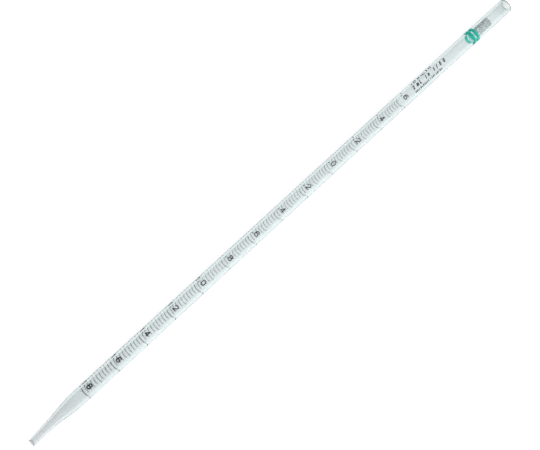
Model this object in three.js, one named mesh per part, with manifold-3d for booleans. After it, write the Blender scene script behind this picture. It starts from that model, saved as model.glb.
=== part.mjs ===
// Graduated serological pipette, 2 mL in steps of 0.02 mL, lying on its side.
// Millimetres, +Z up. The tube lies along X: jet (delivery tip) at -X, mouth at +X.
// The origin is under the middle of the tube, on the surface that it rests on.
//
// Pieces: one drawn tube of clear polystyrene with its tapered jet, one filter
// plug pressed into the mouth end, two colour code rings, and the printed scale:
// a long graduation line and a numeral at every 0.2 mL.

import * as THREE from "three";
import { mergeVertices } from "three/addons/utils/BufferGeometryUtils.js";
import { TessellateModifier } from "three/addons/modifiers/TessellateModifier.js";
import Module from "manifold-3d";

// ---- tube ----
const LENGTH = 275;
const OUTER_R = 3.15;
const BORE_R = 2.069; // 0.2 mL fills 14.87 mm of it
const FACETS = 24; // one facet faces straight down, so that the tube can rest on it
const RIM_EDGE = 0.22; // polished edge of the mouth
// Outside and inside radius of the drawn jet, by distance from its end.
const JET = [
  [0.0, 1.36, 0.92],
  [0.16, 1.46, 0.84],
  [4.2, 1.6, 0.955],
  [7.8, 1.74, 1.065],
  [11.4, 1.98, 1.235],
  [15.05, 2.42, 1.53],
  [18.0, 2.77, 1.78],
  [20.5, 3.03, 1.975],
  [22.8, 3.13, 2.055],
  [24.8, OUTER_R, BORE_R],
];
const BEND = 0.6; // the drawn jet leans this far towards -Y at its end
const BEND_OVER = 20; // and is straight from this far back

// ---- filter plug ----
const PLUG_X0 = 117.0;
const PLUG_X1 = 125.2;
const PLUG_R = 2.035;
const PLUG_EDGE = 0.35;

// ---- print ----
const INK_GAP = 0.008; // between the tube's facets and the underside of a band
const INK = 0.03;
const RING_X = [113.2, 115.4]; // middles of the colour code rings
const RING_WIDTH = 1.5;

const MARK_X0 = -110.35; // the 1.8 mL line
const MARK_PITCH = 14.872; // 0.2 mL of bore
const MARK_WIDTH = 0.3;
const MARK_FROM = 97.5; // degrees round the tube from +Z towards -Y, through the underside
const MARK_TO = 292.5;

const NUMERAL_GAP = 0.02;
const NUMERAL_HEIGHT = 2.5;
const NUMERAL_WIDTH = 1.65;
const STROKE = 0.38;
const NUMERAL_RISE = 1.93; // middle of a numeral above its line
const NUMERAL_AT = 19; // degrees, as for the marks
const POINT_AT = -12;
const POINT_R = 0.23;
const ONE_AT = -36;
const MINUS_AT = -31;
const MINUS_WIDTH = 0.85;
const TESSELLATE = 0.55; // no edge of a wrapped numeral is longer

// Line by line from the jet: what stands before the decimal point, and the digit after it.
const LABELS = [
  ["1", "8"], ["1", "6"], ["1", "4"], ["1", "2"], ["1", "0"],
  [null, "8"], [null, "6"], [null, "4"], [null, "2"], [null, "0"],
  ["-", "2"], ["-", "4"], ["-", "6"],
];
const NODE_TAGS = [
  "1p8", "1p6", "1p4", "1p2", "1p0", "0p8", "0p6", "0p4", "0p2", "0p0",
  "above_0p2", "above_0p4", "above_0p6",
];

const rad = THREE.MathUtils.degToRad;
const FACET = 360 / FACETS;
const BAND_IN = OUTER_R + INK_GAP;
const BAND_OUT = BAND_IN + INK;
const AXIS_Z = BAND_OUT * Math.cos(rad(FACET / 2)); // the lines and rings touch z = 0

const wasm = await Module();
wasm.setup();

// ---- materials ----
const clear = new THREE.MeshStandardMaterial({
  color: 0xdfe9e8, roughness: 0.12, metalness: 0, transparent: true, opacity: 0.35,
});
const cotton = new THREE.MeshStandardMaterial({ color: 0xc9d3d6, roughness: 0.95, metalness: 0 });
const black = new THREE.MeshStandardMaterial({ color: 0x17191b, roughness: 0.55, metalness: 0 });
const green = new THREE.MeshStandardMaterial({ color: 0x12a98c, roughness: 0.45, metalness: 0 });

const pipette = new THREE.Group();
const add = (name, geometry, material) => {
  const mesh = new THREE.Mesh(geometry, material);
  mesh.name = name;
  pipette.add(mesh);
};

// A profile of [x, radius] points, closed on itself, turned about the tube's axis.
const turned = (profile) => {
  const points = [...profile, profile[0]].map(([x, r]) => new THREE.Vector2(r, x));
  const g = new THREE.LatheGeometry(points, FACETS, rad(FACET / 2));
  g.rotateZ(-Math.PI / 2);
  g.translate(0, 0, AXIS_Z);
  return g;
};

// ---- tube with its drawn jet ----
{
  const x0 = -LENGTH / 2, x1 = LENGTH / 2;
  const outside = JET.map(([d, r]) => [x0 + d, r]);
  const inside = JET.map(([d, , r]) => [x0 + d, r]).reverse();
  const mouthOut = [[x1 - RIM_EDGE, OUTER_R], [x1 - RIM_EDGE * 0.3, OUTER_R - RIM_EDGE * 0.3], [x1, OUTER_R - RIM_EDGE]];
  const mouthIn = [[x1, BORE_R + RIM_EDGE], [x1 - RIM_EDGE * 0.3, BORE_R + RIM_EDGE * 0.3], [x1 - RIM_EDGE, BORE_R]];
  const g = turned([...outside, ...mouthOut, ...mouthIn, ...inside]);
  const p = g.attributes.position;
  for (let i = 0; i < p.count; i++) {
    const back = Math.max(0, 1 - (p.getX(i) - x0) / BEND_OVER);
    p.setY(i, p.getY(i) - BEND * back ** 2.2);
  }
  add("barrel_tube", g, clear);
}

// ---- filter plug ----
{
  const e = PLUG_EDGE;
  const half = [
    [PLUG_X0, 0], [PLUG_X0, PLUG_R - e], [PLUG_X0 + e * 0.4, PLUG_R - e * 0.3], [PLUG_X0 + e, PLUG_R],
    [PLUG_X1 - e, PLUG_R], [PLUG_X1 - e * 0.4, PLUG_R - e * 0.3], [PLUG_X1, PLUG_R - e], [PLUG_X1, 0],
  ];
  const points = half.map(([x, r]) => new THREE.Vector2(r, x));
  const g = new THREE.LatheGeometry(points, FACETS, rad(FACET / 2));
  g.rotateZ(-Math.PI / 2);
  g.translate(0, 0, AXIS_Z);
  add("filter_plug", g, cotton);
}

// ---- colour code rings ----
RING_X.forEach((x, i) => {
  const a = x - RING_WIDTH / 2, b = x + RING_WIDTH / 2;
  add(i ? "colour_ring_upper" : "colour_ring_lower",
    turned([[a, BAND_OUT], [b, BAND_OUT], [b, BAND_IN], [a, BAND_IN]]), green);
});

// ---- long graduation lines: C-shaped bands round the underside ----
const onTube = (r, degrees) => [-r * Math.sin(rad(degrees)), r * Math.cos(rad(degrees))];
const markShape = () => {
  const angles = [];
  for (let a = MARK_FROM; a <= MARK_TO + 1e-6; a += FACET) angles.push(a);
  const outer = angles.map((a) => onTube(BAND_OUT, a));
  const inner = angles.map((a) => onTube(BAND_IN, a)).reverse();
  return new THREE.Shape([...outer, ...inner].map(([y, z]) => new THREE.Vector2(y, z)));
};
NODE_TAGS.forEach((tag, k) => {
  const g = new THREE.ExtrudeGeometry(markShape(), { depth: MARK_WIDTH, bevelEnabled: false });
  // the shape's (x, y) become (y, z), and its depth becomes x
  g.applyMatrix4(new THREE.Matrix4().set(0, 0, 1, 0, 1, 0, 0, 0, 0, 1, 0, 0, 0, 0, 0, 1));
  g.translate(MARK_X0 + MARK_PITCH * k - MARK_WIDTH / 2, 0, AXIS_Z);
  add("mark_" + tag, g, black);
});

// ---- numerals ----
const bare = (g) => {
  const b = new THREE.BufferGeometry();
  b.setAttribute("position", g.getAttribute("position"));
  if (g.index) b.setIndex(g.index);
  return mergeVertices(b, 1e-5);
};
const solidOf = (g) => {
  const m = bare(g);
  return new wasm.Manifold(new wasm.Mesh({
    numProp: 3,
    vertProperties: m.attributes.position.array,
    triVerts: new Uint32Array(m.index.array),
  }));
};
const plate = (shape) => new THREE.ExtrudeGeometry(shape, { depth: INK, bevelEnabled: false });
const joined = (shapes) => {
  const made = shapes.map((s) => solidOf(plate(s))).reduce((a, b) => a.add(b)).simplify(1e-4);
  const m = made.getMesh();
  const v = new Float32Array(m.numVert * 3);
  for (let i = 0; i < m.numVert; i++) v.set(m.vertProperties.subarray(i * m.numProp, i * m.numProp + 3), i * 3);
  return new THREE.BufferGeometry()
    .setAttribute("position", new THREE.BufferAttribute(v, 3))
    .setIndex(new THREE.BufferAttribute(new Uint32Array(m.triVerts), 1));
};
// A flat plate in (across, along) wrapped on the tube: across runs round it, along runs up it.
const wrapped = (g, x, degrees) => {
  const fine = new TessellateModifier(TESSELLATE, 24).modify(bare(g).toNonIndexed());
  const p = fine.attributes.position;
  for (let i = 0; i < p.count; i++) {
    const r = OUTER_R + NUMERAL_GAP + p.getZ(i);
    const a = rad(degrees) + p.getX(i) / OUTER_R;
    p.setXYZ(i, x + p.getY(i), -r * Math.sin(a), AXIS_Z + r * Math.cos(a));
  }
  return mergeVertices(bare(fine), 1e-4);
};

const polar = (cx, cy, rx, ry, from, to, n) =>
  Array.from({ length: n + 1 }, (_, i) => {
    const a = rad(from + ((to - from) * i) / n);
    return new THREE.Vector2(cx + rx * Math.cos(a), cy + ry * Math.sin(a));
  });
const oval = (cx, cy, rx, ry, stroke, n = 16) => {
  const s = new THREE.Shape(polar(cx, cy, rx, ry, 0, 360, n).slice(0, n));
  s.holes.push(new THREE.Path(polar(cx, cy, rx - stroke, ry - stroke, 0, 360, n).slice(0, n)));
  return s;
};
const arc = (cx, cy, rx, ry, from, to, stroke, n = 10) =>
  new THREE.Shape([
    ...polar(cx, cy, rx, ry, from, to, n),
    ...polar(cx, cy, rx - stroke, ry - stroke, from, to, n).reverse(),
  ]);
const poly = (...pts) => new THREE.Shape(pts.map(([x, y]) => new THREE.Vector2(x, y)));

const W = NUMERAL_WIDTH / 2, H = NUMERAL_HEIGHT / 2, S = STROKE;
const GLYPHS = {
  0: () => [oval(0, 0, W, H, S)],
  8: () => [oval(0, -0.53, W, H - 0.53, S), oval(0, 0.6, W * 0.86, H - 0.6, S * 0.92)],
  6: () => [oval(0, -0.46, W, H - 0.46, S), arc(0.1, -0.16, W + 0.1, H + 0.16, 62, 180, S)],
  4: () => [
    poly([-W, -0.6], [W, -0.6], [W, -0.6 + S * 0.9], [-W, -0.6 + S * 0.9]),
    poly([0.15, -H], [0.15 + S, -H], [0.15 + S, H], [0.15, H]),
    poly([-W, -0.6 + S * 0.5], [-W + S * 0.95, -0.6 + S * 0.5], [0.15 + S * 0.6, H], [0.08, H]),
  ],
  2: () => [
    arc(0, 0.46, W * 0.96, H - 0.46, -40, 168, S, 12),
    poly([-W, -H + S * 0.4], [-W + S * 0.9, -H + S * 0.4], [W * 0.96 * Math.cos(rad(-40)), 0.46 + (H - 0.46) * Math.sin(rad(-40))],
      [(W * 0.96 - S) * Math.cos(rad(-40)), 0.46 + (H - 0.46 - S) * Math.sin(rad(-40))]),
    poly([-W, -H], [W, -H], [W, -H + S * 0.95], [-W, -H + S * 0.95]),
  ],
  1: () => [
    poly([-S / 2, -H], [S / 2, -H], [S / 2, H], [-S / 2, H]),
    poly([-S / 2 - 0.4, H - 0.58], [-S / 2 - 0.28, H - 0.83], [0, H - 0.52], [0, H - 0.08]),
  ],
};
const point = () => [new THREE.Shape(polar(0, 0, POINT_R, POINT_R, 0, 360, 10).slice(0, 10))];

const minus = () => poly([-MINUS_WIDTH / 2, -S * 0.4], [MINUS_WIDTH / 2, -S * 0.4], [MINUS_WIDTH / 2, S * 0.4], [-MINUS_WIDTH / 2, S * 0.4]);

LABELS.forEach(([before, digit], k) => {
  const x = MARK_X0 + MARK_PITCH * k + NUMERAL_RISE;
  add("numeral_" + NODE_TAGS[k], wrapped(joined(GLYPHS[digit]()), x, NUMERAL_AT), black);
  add("decimal_point_" + NODE_TAGS[k], wrapped(joined(point()), x - H + POINT_R, POINT_AT), black);
  if (before === "1") add("numeral_one_" + NODE_TAGS[k], wrapped(joined(GLYPHS[1]()), x, ONE_AT), black);
  if (before === "-") add("minus_" + NODE_TAGS[k], wrapped(joined([minus()]), x, MINUS_AT), black);
});

export default pipette;
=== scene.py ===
import math
import random

import bmesh
import bpy
import numpy as np
from mathutils import Matrix, Vector


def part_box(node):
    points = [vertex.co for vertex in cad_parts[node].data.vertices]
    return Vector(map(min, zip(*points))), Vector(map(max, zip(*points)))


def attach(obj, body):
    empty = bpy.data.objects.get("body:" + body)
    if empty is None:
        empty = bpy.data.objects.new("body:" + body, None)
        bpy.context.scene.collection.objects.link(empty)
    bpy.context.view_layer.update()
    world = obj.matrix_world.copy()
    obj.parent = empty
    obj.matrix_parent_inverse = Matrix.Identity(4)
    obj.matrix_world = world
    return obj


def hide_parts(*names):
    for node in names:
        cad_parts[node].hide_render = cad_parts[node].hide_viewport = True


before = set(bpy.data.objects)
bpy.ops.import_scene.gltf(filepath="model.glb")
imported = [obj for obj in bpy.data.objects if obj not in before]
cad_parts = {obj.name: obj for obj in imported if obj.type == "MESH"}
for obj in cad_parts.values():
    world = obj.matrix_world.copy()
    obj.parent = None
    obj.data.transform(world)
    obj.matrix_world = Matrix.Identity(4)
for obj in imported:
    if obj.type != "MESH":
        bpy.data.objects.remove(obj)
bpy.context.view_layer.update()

# ------------------------------------------------------------------ sizes (millimetres) from the frame
MM = 0.001
t_lo, t_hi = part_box("barrel_tube")
X0, X1 = t_lo.x / MM, t_hi.x / MM
AXIS_Y = (t_lo.y + t_hi.y) / 2 / MM
AXIS_Z = (t_lo.z + t_hi.z) / 2 / MM
SIDES = 24
R_OUT = (t_hi.z - t_lo.z) / 2 / MM / math.cos(math.pi / SIDES)
R_BORE = 2.069
RIM_EDGE = 0.22

TAGS = ["1p8", "1p6", "1p4", "1p2", "1p0", "0p8", "0p6", "0p4", "0p2", "0p0",
        "above_0p2", "above_0p4", "above_0p6"]


def centre_x(node):
    a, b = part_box(node)
    return (a.x + b.x) / 2 / MM


MARK_X = [centre_x("mark_" + t) for t in TAGS]
PITCH = (MARK_X[-1] - MARK_X[0]) / (len(MARK_X) - 1)
RING_X = [centre_x("colour_ring_lower"), centre_x("colour_ring_upper")]
p_lo, p_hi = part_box("filter_plug")
PLUG_X0, PLUG_X1 = p_lo.x / MM, p_hi.x / MM

# Outside and inside radius of the drawn jet, by distance from its end.
JET = np.array([
    [0.0, 1.46, 0.84], [4.2, 1.6, 0.955], [7.8, 1.74, 1.065], [11.4, 1.98, 1.235], [15.05, 2.42, 1.53],
    [18.0, 2.77, 1.78], [20.5, 3.03, 1.975], [22.8, 3.13, 2.055], [24.8, R_OUT, R_BORE], [32.0, R_OUT, R_BORE],
])
BEND, BEND_OVER = 0.6, 20.0  # the jet leans towards -Y

rng = random.Random(7)
SCENE = bpy.context.scene


# ------------------------------------------------------------------ helpers
def link(obj):
    SCENE.collection.objects.link(obj)
    return obj


def mesh_object(name, verts, faces, smooth=True):
    me = bpy.data.meshes.new(name)
    me.from_pydata([tuple(v) for v in verts], [], [tuple(f) for f in faces])
    me.validate()
    me.update()
    if smooth:
        me.polygons.foreach_set("use_smooth", [True] * len(me.polygons))
    return link(bpy.data.objects.new(name, me))


def place(x, r, degrees):
    """A point on a circle of radius r round the tube's axis. 0 degrees is up, and it turns towards -Y."""
    a = math.radians(degrees)
    lean = BEND * max(0.0, 1 - (x - X0) / BEND_OVER) ** 2.2
    return (x * MM, (AXIS_Y - lean - r * math.sin(a)) * MM, (AXIS_Z + r * math.cos(a)) * MM)


def pchip(xs, ys):
    """Monotone cubic through the points, so that the drawn taper has no ripples."""
    xs, ys = np.asarray(xs, float), np.asarray(ys, float)
    h, d = np.diff(xs), np.diff(ys) / np.diff(xs)
    m = np.zeros_like(ys)
    for i in range(1, len(xs) - 1):
        if d[i - 1] * d[i] > 0:
            w1, w2 = 2 * h[i] + h[i - 1], h[i] + 2 * h[i - 1]
            m[i] = (w1 + w2) / (w1 / d[i - 1] + w2 / d[i])
    m[0] = d[0]

    def f(x):
        i = int(np.clip(np.searchsorted(xs, x) - 1, 0, len(xs) - 2))
        t = (x - xs[i]) / h[i]
        return ((1 + 2 * t) * (1 - t) ** 2 * ys[i] + t * (1 - t) ** 2 * h[i] * m[i]
                + t * t * (3 - 2 * t) * ys[i + 1] + t * t * (t - 1) * h[i] * m[i + 1])
    return f


jet_outer, jet_inner = pchip(JET[:, 0], JET[:, 1]), pchip(JET[:, 0], JET[:, 2])


def turned(name, profile, segments=160, closed=True):
    """A closed profile of (x, radius) turned about the tube's axis."""
    n = len(profile)
    verts = [place(x, r, 360.0 * s / segments) for s in range(segments) for x, r in profile]
    faces = []
    for s in range(segments):
        t = (s + 1) % segments
        for i in range(n if closed else n - 1):
            j = (i + 1) % n
            faces.append((s * n + i, s * n + j, t * n + j, t * n + i))
    return mesh_object(name, verts, faces)


def outwards(obj):
    bm = bmesh.new()
    bm.from_mesh(obj.data)
    bmesh.ops.recalc_face_normals(bm, faces=bm.faces)
    bm.to_mesh(obj.data)
    bm.free()
    obj.data.update()
    return obj


# ------------------------------------------------------------------ materials
def material(name):
    m = bpy.data.materials.new(name)
    m.use_nodes = True
    nt = m.node_tree
    return m, nt, nt.nodes["Principled BSDF"]


def node(nt, kind, **inputs):
    n = nt.nodes.new(kind)
    for k, v in inputs.items():
        n.inputs[k.replace("_", " ")].default_value = v
    return n


def object_coords(nt, scale):
    tc = nt.nodes.new("ShaderNodeTexCoord")
    mp = nt.nodes.new("ShaderNodeMapping")
    mp.inputs["Scale"].default_value = scale
    nt.links.new(tc.outputs["Object"], mp.inputs["Vector"])
    return mp.outputs["Vector"]


def ramp(nt, socket, stops):
    r = nt.nodes.new("ShaderNodeValToRGB")
    el = r.color_ramp.elements
    while len(el) > 1:
        el.remove(el[0])
    el[0].position, el[0].color = stops[0][0], (*stops[0][1], 1)
    for pos, col in stops[1:]:
        e = el.new(pos)
        e.color = (*col, 1)
    nt.links.new(socket, r.inputs["Fac"])
    return r.outputs["Color"]


def clear_polystyrene():
    m, nt, p = material("clear_polystyrene")
    p.inputs["Transmission Weight"].default_value = 1.0
    p.inputs["IOR"].default_value = 1.59
    p.inputs["Specular IOR Level"].default_value = 0.5
    # drawing lines: fine streaks that run along the tube, and a slow waviness
    streaks = node(nt, "ShaderNodeTexNoise", Scale=1.0, Detail=3.0, Roughness=0.55)
    nt.links.new(object_coords(nt, (18.0, 2600.0, 2600.0)), streaks.inputs["Vector"])
    waves = node(nt, "ShaderNodeTexNoise", Scale=1.0, Detail=1.0, Roughness=0.4)
    nt.links.new(object_coords(nt, (90.0, 320.0, 320.0)), waves.inputs["Vector"])
    b1 = node(nt, "ShaderNodeBump", Strength=0.10, Distance=0.00002)
    b2 = node(nt, "ShaderNodeBump", Strength=0.16, Distance=0.0001)
    nt.links.new(streaks.outputs["Fac"], b1.inputs["Height"])
    nt.links.new(waves.outputs["Fac"], b2.inputs["Height"])
    nt.links.new(b1.outputs["Normal"], b2.inputs["Normal"])
    nt.links.new(b2.outputs["Normal"], p.inputs["Normal"])
    tint = ramp(nt, waves.outputs["Fac"], [(0.3, (0.990, 0.993, 0.993)), (0.7, (1.0, 1.0, 1.0))])
    # the plastic's colour is made greyer towards the jet over nearly half the tube, darkest right at the jet's cut tip,
    # and a little greyer over the last stretch at the mouth
    along = nt.nodes.new("ShaderNodeSeparateXYZ")
    nt.links.new(object_coords(nt, (1.0, 1.0, 1.0)), along.inputs["Vector"])
    reach = node(nt, "ShaderNodeMapRange", From_Min=X0 * MM, From_Max=X1 * MM, To_Min=0.0, To_Max=1.0)
    nt.links.new(along.outputs["X"], reach.inputs["Value"])
    end_greying = ramp(nt, reach.outputs["Result"], [(0.0, (0.56, 0.55, 0.56)), (0.0016, (0.60, 0.59, 0.60)), (0.0032, (0.835, 0.835, 0.840)), (0.045, (0.870, 0.868, 0.872)), (0.085, (0.930, 0.926, 0.928)),
                                              (0.20, (0.980, 0.980, 0.982)), (0.45, (1.0, 1.0, 1.0)), (0.976, (1.0, 1.0, 1.0)),
                                              (0.990, (0.90, 0.905, 0.905)), (1.0, (0.86, 0.865, 0.865))])
    both = nt.nodes.new("ShaderNodeMix")
    both.data_type, both.blend_type = "RGBA", "MULTIPLY"
    both.inputs["Factor"].default_value = 1.0
    nt.links.new(tint, both.inputs[6])
    nt.links.new(end_greying, both.inputs[7])
    nt.links.new(both.outputs[2], p.inputs["Base Color"])
    rough = node(nt, "ShaderNodeMapRange", From_Min=0.35, From_Max=0.75, To_Min=0.12, To_Max=0.18)
    nt.links.new(streaks.outputs["Fac"], rough.inputs["Value"])
    nt.links.new(rough.outputs["Result"], p.inputs["Roughness"])
    # the body of the plastic is faintly grey-green
    body = node(nt, "ShaderNodeVolumeAbsorption", Density=110.0, Color=(0.10, 0.46, 0.48, 1.0))
    nt.links.new(body.outputs["Volume"], nt.nodes["Material Output"].inputs["Volume"])
    return m


def ink(name, dark, light, roughness=0.45, thin=0.0):
    m, nt, p = material(name)
    p.inputs["Transmission Weight"].default_value = thin
    grain = node(nt, "ShaderNodeTexNoise", Scale=1.0, Detail=4.0, Roughness=0.6)
    nt.links.new(object_coords(nt, (9000.0, 9000.0, 9000.0)), grain.inputs["Vector"])
    nt.links.new(ramp(nt, grain.outputs["Fac"], [(0.3, dark), (0.72, light)]), p.inputs["Base Color"])
    rough = node(nt, "ShaderNodeMapRange", From_Min=0.3, From_Max=0.7, To_Min=roughness - 0.08, To_Max=roughness + 0.1)
    nt.links.new(grain.outputs["Fac"], rough.inputs["Value"])
    nt.links.new(rough.outputs["Result"], p.inputs["Roughness"])
    b = node(nt, "ShaderNodeBump", Strength=0.25, Distance=0.00001)
    nt.links.new(grain.outputs["Fac"], b.inputs["Height"])
    nt.links.new(b.outputs["Normal"], p.inputs["Normal"])
    p.inputs["IOR"].default_value = 1.4
    return m


def cotton(name, dark, light):
    m, nt, p = material(name)
    fibre = node(nt, "ShaderNodeTexNoise", Scale=1.0, Detail=6.0, Roughness=0.7, Distortion=1.2)
    nt.links.new(object_coords(nt, (900.0, 4200.0, 4200.0)), fibre.inputs["Vector"])
    nt.links.new(ramp(nt, fibre.outputs["Fac"], [(0.3, dark), (0.7, light)]), p.inputs["Base Color"])
    b = node(nt, "ShaderNodeBump", Strength=0.45, Distance=0.00008)
    nt.links.new(fibre.outputs["Fac"], b.inputs["Height"])
    nt.links.new(b.outputs["Normal"], p.inputs["Normal"])
    p.inputs["Roughness"].default_value = 0.95
    p.inputs["Subsurface Weight"].default_value = 0.6
    p.inputs["Subsurface Radius"].default_value = (1.0, 1.0, 1.0)
    p.inputs["Subsurface Scale"].default_value = 0.004
    p.inputs["Sheen Weight"].default_value = 0.35
    p.inputs["Sheen Roughness"].default_value = 0.6
    # the loose fibres let light through from behind
    through = nt.nodes.new("ShaderNodeBsdfTranslucent")
    through.inputs["Color"].default_value = (0.97, 0.975, 0.975, 1.0)
    both = nt.nodes.new("ShaderNodeMixShader")
    both.inputs["Fac"].default_value = 0.74
    nt.links.new(p.outputs["BSDF"], both.inputs[1])
    nt.links.new(through.outputs["BSDF"], both.inputs[2])
    nt.links.new(both.outputs["Shader"], nt.nodes["Material Output"].inputs["Surface"])
    return m


MAT_TUBE = clear_polystyrene()
MAT_BLACK = ink("black_ink", (0.002, 0.0025, 0.003), (0.008, 0.009, 0.010))
MAT_GREEN = ink("green_ink", (0.012, 0.86, 0.68), (0.035, 0.96, 0.82), roughness=0.5, thin=0.9)
MAT_COTTON = cotton("filter_cotton", (0.96, 0.97, 0.975), (0.998, 0.999, 0.999))


def dressed(obj, mat, slot, *nodes):
    obj.data.materials.clear()
    obj.data.materials.append(mat)
    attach(obj, "root")
    if nodes:
        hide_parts(*nodes)
    return obj


# ------------------------------------------------------------------ the tube
def tube_profile():
    """(x, radius) round the wall: out along the outside, over the mouth's rim, back down the bore, over the jet's rim."""
    pts = []
    e = 0.13  # rounded end of the jet
    wall_mid = (jet_outer(0.0) + jet_inner(0.0)) / 2
    half = (jet_outer(0.0) - jet_inner(0.0)) / 2
    # outside, from just behind the jet's rounded rim
    steps = list(np.linspace(e, 30.0, 96))
    for d in steps:
        pts.append((X0 + d, jet_outer(d)))
    for x in np.linspace(X0 + 36, X1 - 2.0, 36):
        pts.append((x, R_OUT))
    # rim of the mouth, polished round
    k = RIM_EDGE
    for a in np.linspace(0, 90, 7):
        pts.append((X1 - k + k * math.sin(math.radians(a)), R_OUT - k + k * math.cos(math.radians(a))))
    for a in np.linspace(90, 0, 7):
        pts.append((X1 - k + k * math.sin(math.radians(a)), R_BORE + k - k * math.cos(math.radians(a))))
    for x in np.linspace(X1 - 2.0, X0 + 36, 36):
        pts.append((x, R_BORE))
    for d in reversed(steps):
        pts.append((X0 + d, jet_inner(d)))
    # rim of the jet
    q = min(e, half * 0.8)
    for a in np.linspace(10, 90, 6):
        pts.append((X0 + q - q * math.sin(math.radians(a)), jet_inner(0.0) + q - q * math.cos(math.radians(a))))
    for a in np.linspace(90, 10, 6):
        pts.append((X0 + q - q * math.sin(math.radians(a)), jet_outer(0.0) - q + q * math.cos(math.radians(a))))
    return pts


tube = outwards(turned("pipette_tube", tube_profile()))
dressed(tube, MAT_TUBE, "clear_polystyrene", "barrel_tube")


# ------------------------------------------------------------------ print: bands round the tube
SINK = 0.006  # the underside of the ink is this far inside the wall's surface, so that it is bonded to it
FILM = 0.014  # and its top this far outside


def band(x, width, start, end, step=2.5, corner=True):
    """One printed line round the tube from start to end degrees, with rounded ends. Vertices and faces."""
    n = max(3, int(math.ceil(abs(end - start) / step)))
    rows = []
    cap = math.degrees(width / 2 / R_OUT)
    for k in range(4):  # the rounded start
        a = math.radians(90 * (k + 0.5) / 4)
        rows.append((start + cap * (1 - math.sin(a)), width / 2 * math.cos(math.pi / 2 - a)))
    for i in range(n + 1):
        rows.append((start + cap + (end - start - 2 * cap) * i / n, width / 2))
    for k in reversed(range(4)):
        a = math.radians(90 * (k + 0.5) / 4)
        rows.append((end - cap * (1 - math.sin(a)), width / 2 * math.cos(math.pi / 2 - a)))
    verts, faces = [], []
    for a, w in rows:
        for r, s in ((R_OUT - SINK, -1), (R_OUT - SINK, 1), (R_OUT + FILM, 1), (R_OUT + FILM, -1)):
            verts.append(place(x + s * w, r, a))
    for i in range(len(rows) - 1):
        for k in range(4):
            j = (k + 1) % 4
            faces.append((4 * i + k, 4 * i + j, 4 * i + 4 + j, 4 * i + 4 + k))
    faces.append((3, 2, 1, 0))
    e = 4 * (len(rows) - 1)
    faces.append((e, e + 1, e + 2, e + 3))
    return verts, faces


def bands(name, lines):
    verts, faces = [], []
    for args in lines:
        v, f = band(*args)
        base = len(verts)
        verts += v
        faces += [tuple(base + i for i in q) for q in f]
    obj = mesh_object(name, verts, faces, smooth=False)
    return outwards(obj)


LINES_FROM = 288.0   # the lines all begin here and run down round the underside
LONG_TO, MEDIUM_TO, SHORT_TO = 106.0, 151.0, 176.0


def line_width(x, long=False):
    """The print is a little bolder towards the jet."""
    bold = float(np.interp((x - MARK_X[0]) / PITCH, [0.0, 2.0, 4.5, 12.0], [0.29, 0.26, 0.20, 0.21]))
    return bold + (0.07 if long else 0.0)



for tag, x in zip(TAGS, MARK_X):
    dressed(bands("line_" + tag, [(x, line_width(x, True), LONG_TO, LINES_FROM)]), MAT_BLACK, "black_ink", "mark_" + tag)

short_lines, medium_lines = [], []
for k in range(len(MARK_X) - 1):
    for j in range(1, 10):
        x = MARK_X[k] + PITCH * j / 10
        (medium_lines if j == 5 else short_lines).append(
            (x, line_width(x), MEDIUM_TO if j == 5 else SHORT_TO, LINES_FROM))
dressed(bands("lines_every_0p1", medium_lines), MAT_BLACK, "black_ink")
dressed(bands("lines_every_0p02", short_lines), MAT_BLACK, "black_ink")

# colour code rings
for name, x in zip(("colour_ring_lower", "colour_ring_upper"), RING_X):
    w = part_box(name)[1].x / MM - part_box(name)[0].x / MM
    prof = []
    e = 0.02
    for px, pr in ((-w / 2, R_OUT - SINK), (-w / 2, R_OUT + FILM - 0.004), (-w / 2 + e, R_OUT + FILM),
                   (w / 2 - e, R_OUT + FILM), (w / 2, R_OUT + FILM - 0.004), (w / 2, R_OUT - SINK)):
        prof.append((x + px, pr))
    obj = outwards(turned("printed_" + name, prof, segments=160))
    dressed(obj, MAT_GREEN, "green_ink", name)


# ------------------------------------------------------------------ print: numerals and legend
# Each character is a set of centre lines in millimetres, drawn with a round pen. The area within half
# a pen's width of them is cut out of a fine grid, and that flat shape is wrapped on the tube as a film.
def curve(cx, cy, rx, ry, start, end, n=28, power=2.0):
    out = []
    for t in np.linspace(math.radians(start), math.radians(end), n):
        c, s_ = math.cos(t), math.sin(t)
        out.append((cx + rx * math.copysign(abs(c) ** (2 / power), c), cy + ry * math.copysign(abs(s_) ** (2 / power), s_)))
    return out


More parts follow.
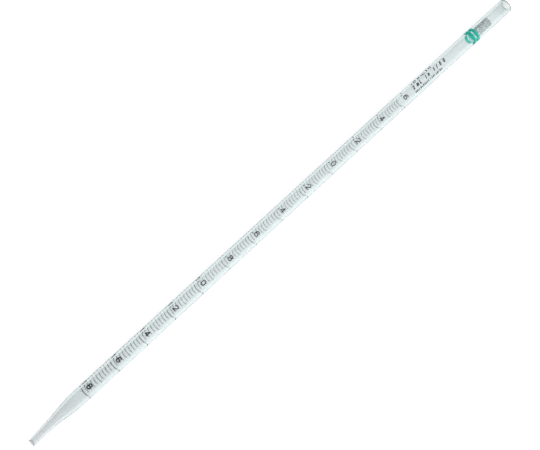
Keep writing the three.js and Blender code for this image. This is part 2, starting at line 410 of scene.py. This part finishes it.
def character(ch, w, h, s):
    """Centre lines of one character whose inked box is w by h, with its left foot at the origin."""
    l, r, b, t = s / 2, w - s / 2, s / 2, h - s / 2
    cw, chh, mx = r - l, t - b, (l + r) / 2
    if ch == "0":
        return [curve(mx, (b + t) / 2, cw / 2, chh / 2, 0, 360, 44, 2.25)]
    if ch == "8":
        return [curve(mx, b + 0.265 * chh, cw / 2, 0.265 * chh, 0, 360, 36, 2.2),
                curve(mx, t - 0.235 * chh, cw * 0.46, 0.235 * chh, 0, 360, 36, 2.2)]
    if ch == "6":
        return [curve(mx, b + 0.30 * chh, cw / 2, 0.30 * chh, 0, 360, 40, 2.15),
                curve(mx + 0.01 * w, (b + t) / 2, cw / 2 + 0.01 * w, chh / 2, 40, 195, 34, 2.3)]
    if ch == "2":
        top = curve(mx, t - 0.29 * chh, cw / 2, 0.29 * chh, 172, -22, 26, 2.1)
        return [top + [(l + 0.62 * cw, b + 0.36 * chh), (l + 0.28 * cw, b + 0.17 * chh), (l + 0.04 * cw, b)], [(l, b), (r, b)]]
    if ch == "4":
        x = l + 0.70 * cw
        y = b + 0.24 * chh
        return [[(x, t), (l, y), (r, y)], [(x, t), (x, b)]]
    if ch == "1":
        x = r
        return [[(x, b), (x, t), (l, t - 0.22 * chh)]]
    if ch == "5":
        return [[(r - 0.04 * cw, t), (l + 0.16 * cw, t), (l + 0.05 * cw, b + 0.50 * chh)]
                + curve(mx, b + 0.32 * chh, cw / 2, 0.32 * chh, 140, -158, 30, 2.1)]
    x_top = b + 0.70 * chh
    if ch == "i":
        return [[(mx, b), (mx, x_top)], [(mx, t), (mx, t)]]
    if ch == "n":
        return [[(l, b), (l, x_top)], curve(mx, x_top - cw / 2, cw / 2, cw / 2, 180, 0, 16) + [(r, b)]]
    if ch == "m":
        q = cw / 4
        return [[(l, b), (l, x_top)], curve(l + q, x_top - q, q, q, 180, 0, 12) + [(mx, b)],
                curve(mx + q, x_top - q, q, q, 180, 0, 12) + [(r, b)]]
    if ch == "L":
        return [[(l, t), (l, b), (r, b)]]
    if ch == "/":
        return [[(l, b), (r, t)]]
    if ch == "-":
        return [[(l, (b + t) / 2), (r, (b + t) / 2)]]
    if ch == ".":
        return [[(mx, b), (mx, b)]]
    raise ValueError(ch)


def cut_out(lines, pen, cell=0.06, ragged=0.0, seed=1):
    """The area within pen/2 of the lines, as (vertices, faces) on a grid: marching squares with shared corners."""
    segs = [(p, q) for ln in lines for p, q in zip(ln[:-1], ln[1:])]
    pts = np.array([p for sg in segs for p in sg])
    lo, hi = pts.min(0) - pen / 2 - 2 * cell, pts.max(0) + pen / 2 + 2 * cell
    xs, ys = np.arange(lo[0], hi[0] + cell, cell), np.arange(lo[1], hi[1] + cell, cell)
    gx, gy = np.meshgrid(xs, ys, indexing="ij")
    d = np.full(gx.shape, 1e9)
    for (ax, ay), (bx, by) in segs:
        vx, vy = bx - ax, by - ay
        k = np.clip(((gx - ax) * vx + (gy - ay) * vy) / max(vx * vx + vy * vy, 1e-12), 0, 1)
        d = np.minimum(d, np.hypot(gx - ax - k * vx, gy - ay - k * vy))
    d -= pen / 2
    if ragged:
        d += ragged * np.random.RandomState(seed).uniform(-1, 1, d.shape)
    d[np.abs(d) < 1e-4 * cell] = 1e-4 * cell
    verts, index, faces = [], {}, []

    def corner(i, j):
        if (i, j) not in index:
            index[(i, j)] = len(verts)
            verts.append((xs[i], ys[j]))
        return index[(i, j)]

    def crossing(i, j, k, l_):
        key = tuple(sorted(((i, j), (k, l_))))
        if key not in index:
            (a0, a1), (b0, b1) = key
            f = d[a0, a1] / (d[a0, a1] - d[b0, b1])
            f = min(max(f, 0.04), 0.96)
            index[key] = len(verts)
            verts.append((xs[a0] + f * (xs[b0] - xs[a0]), ys[a1] + f * (ys[b1] - ys[a1])))
        return index[key]

    for i in range(len(xs) - 1):
        for j in range(len(ys) - 1):
            ring = [(i, j), (i + 1, j), (i + 1, j + 1), (i, j + 1)]
            inside = [d[c] < 0 for c in ring]
            if not any(inside):
                continue
            if inside in ([True, False, True, False], [False, True, False, True]):
                for k in range(4):  # two separate corners
                    if inside[k]:
                        p, c, n = ring[k - 1], ring[k], ring[(k + 1) % 4]
                        faces.append((crossing(*p, *c), corner(*c), crossing(*c, *n)))
                continue
            poly = []
            for k in range(4):
                c, n = ring[k], ring[(k + 1) % 4]
                if inside[k]:
                    poly.append(corner(*c))
                if inside[k] != inside[(k + 1) % 4]:
                    poly.append(crossing(*c, *n))
            faces.append(tuple(poly))
    return np.array(verts), faces


def film(name, v2, faces, to_surface):
    """A flat shape made into a thin closed film of ink on the tube. to_surface(u, v) gives (x, degrees)."""
    n = len(v2)
    spots = [to_surface(u, v) for u, v in v2]
    verts = [place(x, R_OUT - SINK, a) for x, a in spots] + [place(x, R_OUT + FILM, a) for x, a in spots]
    edges = {}
    for f in faces:
        for p, q in zip(f, f[1:] + f[:1]):
            edges[(p, q)] = True
    sides = [(p, q, q + n, p + n) for p, q in edges if (q, p) not in edges]
    all_faces = [tuple(reversed(f)) for f in faces] + [tuple(i + n for i in f) for f in faces] + sides
    return outwards(mesh_object(name, verts, all_faces, smooth=False))


NUM_H, NUM_W = 2.5, 1.80
PENS = [0.52, 0.48, 0.42, 0.42, 0.39, 0.37, 0.36, 0.35, 0.35, 0.35, 0.36, 0.38, 0.40]
TURNED = [-4.5, -3.0, -1.5, 0.0, 1.5, 1.5, 2.0, 2.5, 2.5, 2.5, 1.0, 1.0, 2.0]  # the row of print wanders a little
NUMERAL_AT, POINT_AT, ONE_AT, MINUS_AT = 19.0, -12.0, -36.0, -31.0
RISE = 1.93
LABELS = [("1", "8"), ("1", "6"), ("1", "4"), ("1", "2"), ("1", "0"), ("", "8"), ("", "6"), ("", "4"),
          ("", "2"), ("", "0"), ("-", "2"), ("-", "4"), ("-", "6")]
DEG = 180.0 / math.pi / R_OUT  # degrees per millimetre round the tube


def label_part(name, ch, w, h, x_foot, at, pen, *replaced, seed=1):
    """One character of a label: its top faces the mouth, and it is read round the tube. at is its middle's angle."""
    v, f = cut_out(character(ch, w, h, pen), pen, cell=0.055, ragged=0.006, seed=seed)
    obj = film(name, v, f, lambda u, t: (x_foot + t, at + (u - w / 2) * DEG))
    return dressed(obj, MAT_BLACK, "black_ink", *replaced)


for k, ((before, digit), tag, x) in enumerate(zip(LABELS, TAGS, MARK_X)):
    foot = x + RISE - NUM_H / 2
    pen, turn = PENS[k], TURNED[k]
    label_part("label_" + tag + "_digit", digit, NUM_W, NUM_H, foot, NUMERAL_AT + turn, pen, "numeral_" + tag, seed=k)
    label_part("label_" + tag + "_point", ".", 0.50, 0.50, foot, POINT_AT + turn, 0.50, "decimal_point_" + tag, seed=30 + k)
    if before == "1":
        label_part("label_" + tag + "_one", "1", 0.82, NUM_H, foot, ONE_AT - 2 + turn, pen, "numeral_one_" + tag, seed=60 + k)
    if before == "-":
        label_part("label_" + tag + "_minus", "-", 0.85, NUM_H, foot, MINUS_AT + turn, 0.38, "minus_" + tag, seed=90 + k)


# the legend: capacity and division, and rows of plain dashes in place of small print
def written(name, chars, height, at, pen, slant):
    """A line along the tube, with its top towards smaller angles. chars is a list of (character, x of its left foot, width)."""
    parts, base = ([], []), 0
    for i, (ch, x, w) in enumerate(chars):
        v, f = cut_out(character(ch, w, height, pen), pen, cell=0.06, ragged=0.006, seed=200 + i)
        v = np.stack([x + v[:, 0] + slant * v[:, 1], v[:, 1] - height / 2], 1)
        parts[0].append(v)
        parts[1].extend(tuple(base + k for k in q) for q in f)
        base += len(v)
    obj = film(name, np.concatenate(parts[0]), parts[1], lambda u, t: (u, at - t * DEG))
    return dressed(obj, MAT_BLACK, "black_ink")


LEGEND_AT = 8.5
written("legend_capacity", [("2", 74.9, 1.0), ("m", 77.2, 1.35), ("L", 79.2, 0.8), ("i", 82.9, 0.4), ("n", 84.4, 0.95),
                            ("1", 88.0, 0.6), ("/", 89.9, 0.7), ("5", 91.9, 1.0), ("0", 94.2, 1.05)],
        1.75, LEGEND_AT, 0.40, 0.42)


def dashes(name, x0, x1, at, height, pen, seed):
    r = random.Random(seed)
    parts, base, x = ([], []), 0, x0
    while x < x1:
        w = r.uniform(0.36, 0.66)
        h = height * r.choice((1.0, 1.0, 0.7))
        lines = [[(pen / 2, pen / 2), (pen / 2 + 0.3 * (h - pen), h - pen / 2)]]
        if r.random() < 0.75:
            lines.append([(w - pen / 2, pen / 2), (w - pen / 2 + 0.3 * (h - pen), h - pen / 2)])
            y = pen / 2 + (h - pen) * r.choice((0.0, 0.5, 1.0))
            lines.append([(pen / 2 + 0.15 * h, y), (w - pen / 2 + 0.15 * h, y)])
        v, f = cut_out(lines, pen, cell=0.06)
        parts[0].append(np.stack([x + v[:, 0], v[:, 1] - height / 2], 1))
        parts[1].extend(tuple(base + k for k in q) for q in f)
        base += len(v)
        x += w + r.choice((0.32, 0.36, 0.42, 0.95))
    obj = film(name, np.concatenate(parts[0]), parts[1], lambda u, t: (u, at - t * DEG))
    return dressed(obj, MAT_BLACK, "black_ink")


dashes("legend_dashes_left", 76.2, 88.7, 21.9 - 51.0, 1.35, 0.42, 3)
dashes("legend_dashes_right", 75.0, 92.0, 21.9 + 24.5, 0.95, 0.26, 4)


# ------------------------------------------------------------------ filter plug
def plug():
    segs, rows = 72, 60
    seed = np.random.RandomState(11)
    # smooth noise on the plug's skin
    coarse = seed.uniform(-1, 1, (12, 10))

    def noise(u, v):
        gu, gv = (u % 1.0) * 12, v * 9
        i, j = int(gu) % 12, min(int(gv), 8)
        fu, fv = gu - int(gu), gv - int(gv)
        fu, fv = fu * fu * (3 - 2 * fu), fv * fv * (3 - 2 * fv)
        a = coarse[i, j] * (1 - fu) + coarse[(i + 1) % 12, j] * fu
        b = coarse[i, j + 1] * (1 - fu) + coarse[(i + 1) % 12, j + 1] * fu
        return a * (1 - fv) + b * fv

    r0 = R_BORE - 0.006
    verts, faces = [], []
    prof = []
    L = PLUG_X1 - PLUG_X0
    for k in range(9):  # domed end near the rings
        a = math.radians(90 * k / 9)
        prof.append((0.16 * (1 - math.cos(a)), 0.03 + (r0 - 0.19) * k / 9 + 0.16 * math.sin(a) * k / 9))
    for k in range(rows):
        prof.append((0.18 + (L - 0.36) * k / (rows - 1), r0))
    for k in range(1, 9):
        a = math.radians(90 * (1 - k / 9))
        j = 1 - k / 9
        prof.append((L - 0.16 * (1 - math.cos(a)), 0.03 + (r0 - 0.19) * j + 0.16 * math.sin(a) * j))
    for s in range(segs):
        for i, (d, r) in enumerate(prof):
            u, v = s / segs, d / L
            rr = r - (0.004 + 0.004 * noise(u * 3, min(v, 0.999)) + 0.004 * noise(u, min(v, 0.999))) * (r / r0)
            bump = 0.10 * noise(u + 0.37, min(r / r0, 0.999)) * (1 if i < 9 or i >= len(prof) - 8 else 0)
            verts.append(place(PLUG_X0 + 0.12 + d * (L - 0.24) / L + bump, max(rr, 0.03), 360.0 * s / segs))
    n = len(prof)
    for s in range(segs):
        t = (s + 1) % segs
        for i in range(n - 1):
            faces.append((s * n + i, s * n + i + 1, t * n + i + 1, t * n + i))
    faces.append(tuple(s * n for s in range(segs)))
    faces.append(tuple(s * n + n - 1 for s in reversed(range(segs))))
    obj = outwards(mesh_object("filter_plug_core", verts, faces))
    return dressed(obj, MAT_COTTON, "filter_cotton", "filter_plug")


plug()


def fibres(count=420):
    """Loose cotton fibres standing off the plug's two ends."""
    r = random.Random(23)
    verts, faces = [], []
    sides = 5

    def strand(points, radius):
        base = len(verts)
        pts = [Vector(p) for p in points]
        for i, p in enumerate(pts):
            d = (pts[min(i + 1, len(pts) - 1)] - pts[max(i - 1, 0)]).normalized()
            q = d.to_track_quat("Z", "Y")
            taper = 1.0 if 0 < i < len(pts) - 1 else 0.45
            for s in range(sides):
                a = 2 * math.pi * s / sides
                verts.append(tuple(p + q @ Vector((math.cos(a), math.sin(a), 0)) * radius * taper * MM))
        for i in range(len(pts) - 1):
            for s in range(sides):
                t = (s + 1) % sides
                faces.append((base + i * sides + s, base + i * sides + t, base + (i + 1) * sides + t, base + (i + 1) * sides + s))
        faces.append(tuple(base + s for s in reversed(range(sides))))
        faces.append(tuple(base + (len(pts) - 1) * sides + s for s in range(sides)))

    top = R_BORE - 0.03
    for i in range(int(count * 0.6), count):
        n = 9
        if i < count * 0.6:  # on the skin
            x = r.uniform(PLUG_X0 + 0.3, PLUG_X1 - 0.3)
            a = r.uniform(0, 360)
            dx, da = r.uniform(-0.28, 0.28), r.uniform(-12, 12)
            bend = r.uniform(-0.05, 0.05)
            pts = []
            for k in range(n):
                x = min(max(x + dx + r.uniform(-0.03, 0.03), PLUG_X0 + 0.1), PLUG_X1 - 0.1)
                a += da + r.uniform(-2, 2)
                dx += bend
                pts.append(place(x, top - r.uniform(0.0, 0.03), a))
        else:  # on an end
            end = r.random() < 0.5
            x = PLUG_X1 - 0.12 if end else PLUG_X0 + 0.12
            out = 1 if end else -1
            a, rad = r.uniform(0, 360), r.uniform(0.1, top - 0.25)
            px, py = rad * math.cos(math.radians(a)), rad * math.sin(math.radians(a))
            h = r.uniform(0, 360)
            pts = []
            reach = r.uniform(0.02, 0.16)
            for k in range(n):
                h += r.uniform(-28, 28)
                px += 0.16 * math.cos(math.radians(h))
                py += 0.16 * math.sin(math.radians(h))
                q = math.hypot(px, py)
                if q > top - 0.06:
                    px, py = px * (top - 0.06) / q, py * (top - 0.06) / q
                lift = reach * math.sin(math.pi * k / (n - 1))
                rr, aa = math.hypot(px, py), math.degrees(math.atan2(py, px))
                pts.append(place(x + out * (lift - 0.02), rr, aa))
        strand(pts, r.uniform(0.011, 0.017))
    obj = outwards(mesh_object("filter_plug_fibres", verts, faces))
    return dressed(obj, MAT_COTTON, "filter_cotton")


fibres()


# ------------------------------------------------------------------ stage, light, camera
def floor():
    size = 3.0
    verts = [(-size, -size, 0), (size, -size, 0), (size, size, 0), (-size, size, 0)]
    obj = mesh_object("studio_floor", [(x, y, z - 0.00002) for x, y, z in verts], [(0, 1, 2, 3)], smooth=False)
    m, nt, p = material("studio_floor")
    p.inputs["Base Color"].default_value = (0.28, 0.28, 0.28, 1)
    p.inputs["Roughness"].default_value = 0.9
    p.inputs["Specular IOR Level"].default_value = 0.1
    p.inputs["Emission Color"].default_value = (1.0, 1.0, 1.0, 1)
    p.inputs["Emission Strength"].default_value = 0.87
    obj.data.materials.append(m)


floor()


def area(name, location, target, size, power, colour=(1, 1, 1)):
    li = bpy.data.lights.new(name, "AREA")
    li.shape = "RECTANGLE"
    li.size, li.size_y = size
    li.energy = power
    li.color = colour
    ob = link(bpy.data.objects.new(name, li))
    ob.location = location
    ob.rotation_mode = "QUATERNION"
    ob.rotation_quaternion = (Vector(target) - Vector(location)).to_track_quat("-Z", "Y")
    return ob


area("key_soft", (-0.95, -0.95, 0.70), (0, 0, 0), (1.5, 0.9), 32.0)

world = bpy.data.worlds.new("studio")
SCENE.world = world
world.use_nodes = True
wn = world.node_tree
bg = wn.nodes["Background"]
tc = wn.nodes.new("ShaderNodeTexCoord")
sep = wn.nodes.new("ShaderNodeSeparateXYZ")
wn.links.new(tc.outputs["Generated"], sep.inputs["Vector"])
# pale all round near the horizon, and above it bright on the -Y side and dim on the +Y side
def world_ramp(socket, stops):
    r = wn.nodes.new("ShaderNodeValToRGB")
    el = r.color_ramp.elements
    el[0].position, el[0].color = stops[0][0], (*stops[0][1], 1)
    el[1].position, el[1].color = stops[1][0], (*stops[1][1], 1)
    wn.links.new(socket, r.inputs["Fac"])
    return r.outputs["Color"]


side = wn.nodes.new("ShaderNodeMapRange")
side.inputs["From Min"].default_value, side.inputs["From Max"].default_value = -0.7, 0.5
wn.links.new(sep.outputs["Y"], side.inputs["Value"])
above = world_ramp(side.outputs["Result"], [(0.0, (1.0, 1.0, 1.0)), (1.0, (0.12, 0.125, 0.13))])
height = world_ramp(sep.outputs["Z"], [(0.12, (0.0, 0.0, 0.0)), (0.40, (1.0, 1.0, 1.0))])
mix = wn.nodes.new("ShaderNodeMix")
mix.data_type = "RGBA"
wn.links.new(height, mix.inputs["Factor"])
mix.inputs[6].default_value = (0.88, 0.885, 0.885, 1)
wn.links.new(above, mix.inputs[7])
wn.links.new(mix.outputs[2], bg.inputs["Color"])
bg.inputs["Strength"].default_value = 1.0

# the photograph's view: a long lens above the jet's side
CAM_POS = Vector((-227.191, -203.622, 506.544)) * MM + Vector((0, 0, AXIS_Z * MM))
CAM_AZ, CAM_EL = -46.809, 59.725
cam = bpy.data.cameras.new("photo_camera")
cam.sensor_width = 36.0
cam.lens = 1490.906 / 540 * 36.0
cam.clip_start, cam.clip_end = 0.01, 20.0
cam_ob = link(bpy.data.objects.new("photo_camera", cam))
a, e = math.radians(CAM_AZ), math.radians(CAM_EL)
back = Vector((math.sin(a) * math.cos(e), -math.cos(a) * math.cos(e), math.sin(e)))
cam_ob.location = CAM_POS
cam_ob.rotation_mode = "QUATERNION"
cam_ob.rotation_quaternion = (-back).to_track_quat("-Z", "Y")
cam_ob.location = CAM_POS + cam_ob.rotation_quaternion @ Vector((-0.00020, 0.00020, 0.0))
SCENE.camera = cam_ob

SCENE.view_settings.view_transform = "Standard"
SCENE.view_settings.look = "None"
SCENE.cycles.max_bounces = 24
SCENE.cycles.transmission_bounces = 20
SCENE.cycles.transparent_max_bounces = 16
SCENE.cycles.glossy_bounces = 8
SCENE.cycles.diffuse_bounces = 8
